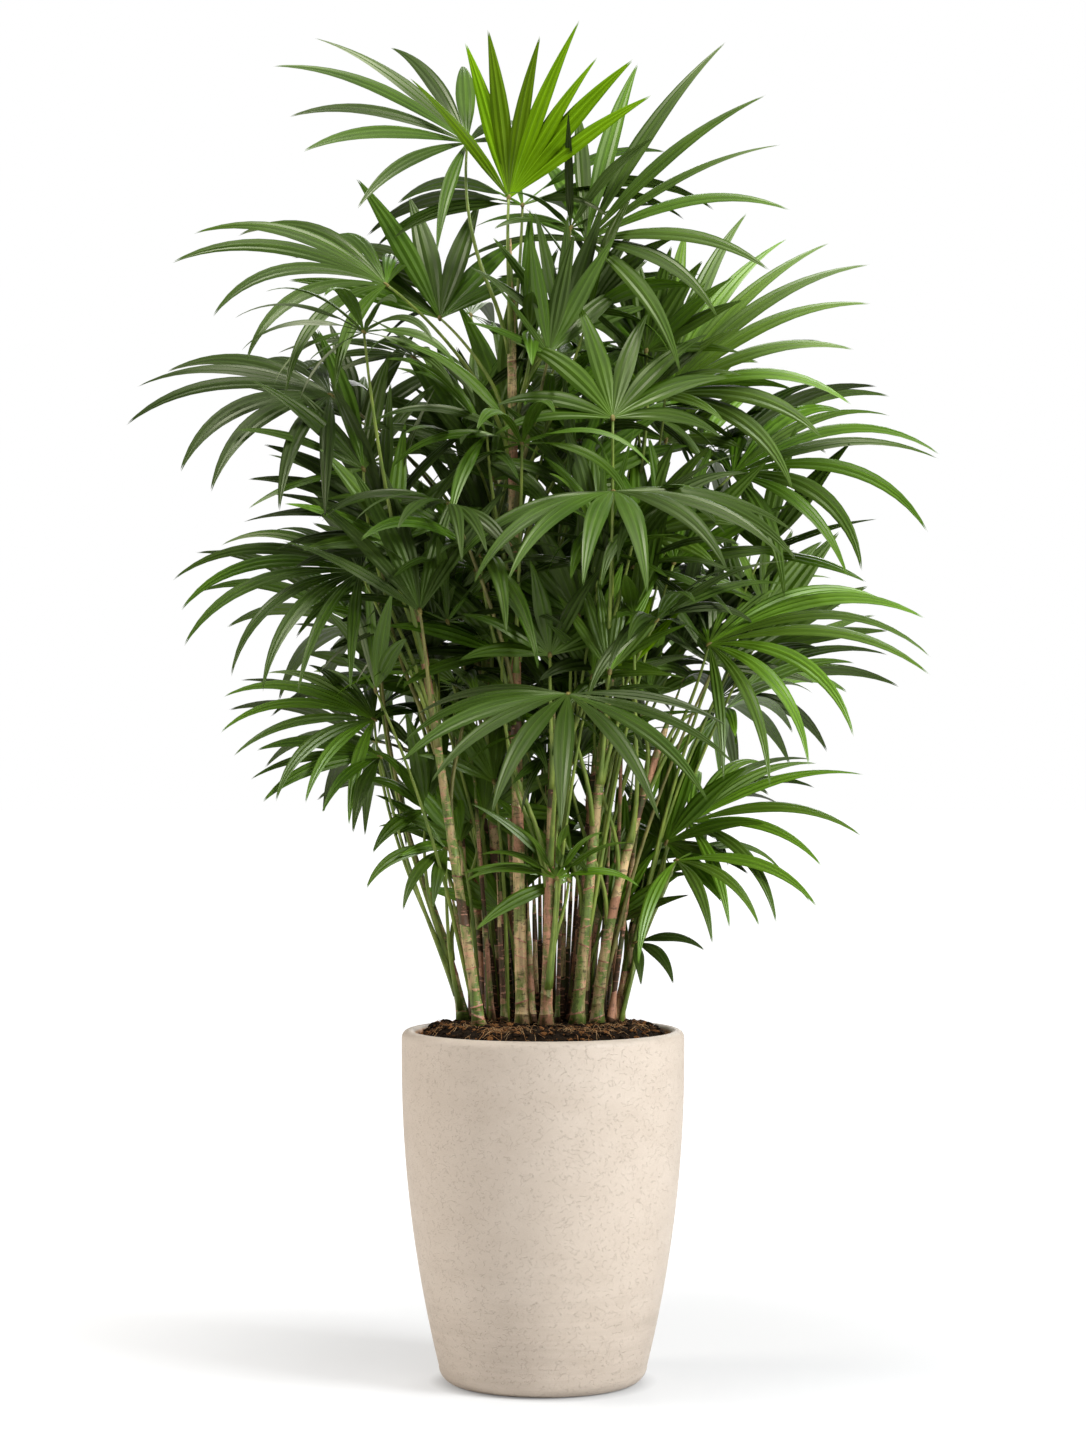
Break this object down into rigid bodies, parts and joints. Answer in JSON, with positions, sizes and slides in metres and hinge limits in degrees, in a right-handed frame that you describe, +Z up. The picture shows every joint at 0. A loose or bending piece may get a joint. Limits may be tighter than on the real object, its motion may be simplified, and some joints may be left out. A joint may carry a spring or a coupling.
{
  "type": "potted lady palm",
  "caption": "Lady palm in a tall pale pot: a clump of slim upright canes with fans of narrow drooping leaflets on thin stalks, standing on the pot's flat underside.",
  "frame": {"origin": "centre of the pot's flat underside, on the surface that the pot stands on", "axes": "+Z up, +X to the right and -Y towards the front, the side that the plant's face turns to"},
  "size_m": [1.0999, 1.0397, 1.8317],
  "materials": {
    "cast_stone": "matte",
    "potting_soil": "matte",
    "cane_bark": "satin",
    "dark_leaf": "satin",
    "young_leaf": "satin"
  },
  "bodies": {
    "root": {"pot": "cast_stone", "soil": "potting_soil", "cane_01": "cane_bark", "cane_02": "cane_bark", "cane_03": "cane_bark", "cane_04": "cane_bark", "cane_05": "cane_bark", "cane_06": "cane_bark", "cane_07": "cane_bark", "cane_08": "cane_bark", "cane_09": "cane_bark", "cane_10": "cane_bark", "cane_11": "cane_bark", "cane_12": "cane_bark", "cane_13": "cane_bark", "cane_14": "cane_bark", "frond_01": "dark_leaf", "frond_02": "young_leaf", "frond_03": "dark_leaf", "frond_04": "dark_leaf", "frond_05": "dark_leaf", "frond_06": "dark_leaf", "frond_07": "dark_leaf", "frond_08": "dark_leaf", "frond_09": "dark_leaf", "frond_10": "dark_leaf", "frond_11": "dark_leaf", "frond_12": "dark_leaf", "frond_13": "dark_leaf", "frond_14": "dark_leaf", "frond_15": "dark_leaf", "frond_16": "dark_leaf", "frond_17": "dark_leaf", "frond_18": "dark_leaf", "frond_19": "dark_leaf", "frond_20": "dark_leaf", "frond_21": "dark_leaf", "frond_22": "dark_leaf", "frond_23": "dark_leaf", "frond_24": "dark_leaf", "frond_25": "dark_leaf", "frond_26": "young_leaf", "frond_27": "dark_leaf", "frond_28": "dark_leaf", "frond_29": "dark_leaf", "frond_30": "dark_leaf", "frond_31": "dark_leaf", "frond_32": "dark_leaf", "frond_33": "dark_leaf", "frond_34": "dark_leaf", "frond_35": "dark_leaf", "frond_36": "dark_leaf", "frond_37": "dark_leaf", "frond_38": "dark_leaf", "frond_39": "dark_leaf", "frond_40": "dark_leaf", "frond_41": "dark_leaf", "frond_42": "dark_leaf", "frond_43": "dark_leaf", "frond_44": "dark_leaf"}
  },
  "joints": []
}
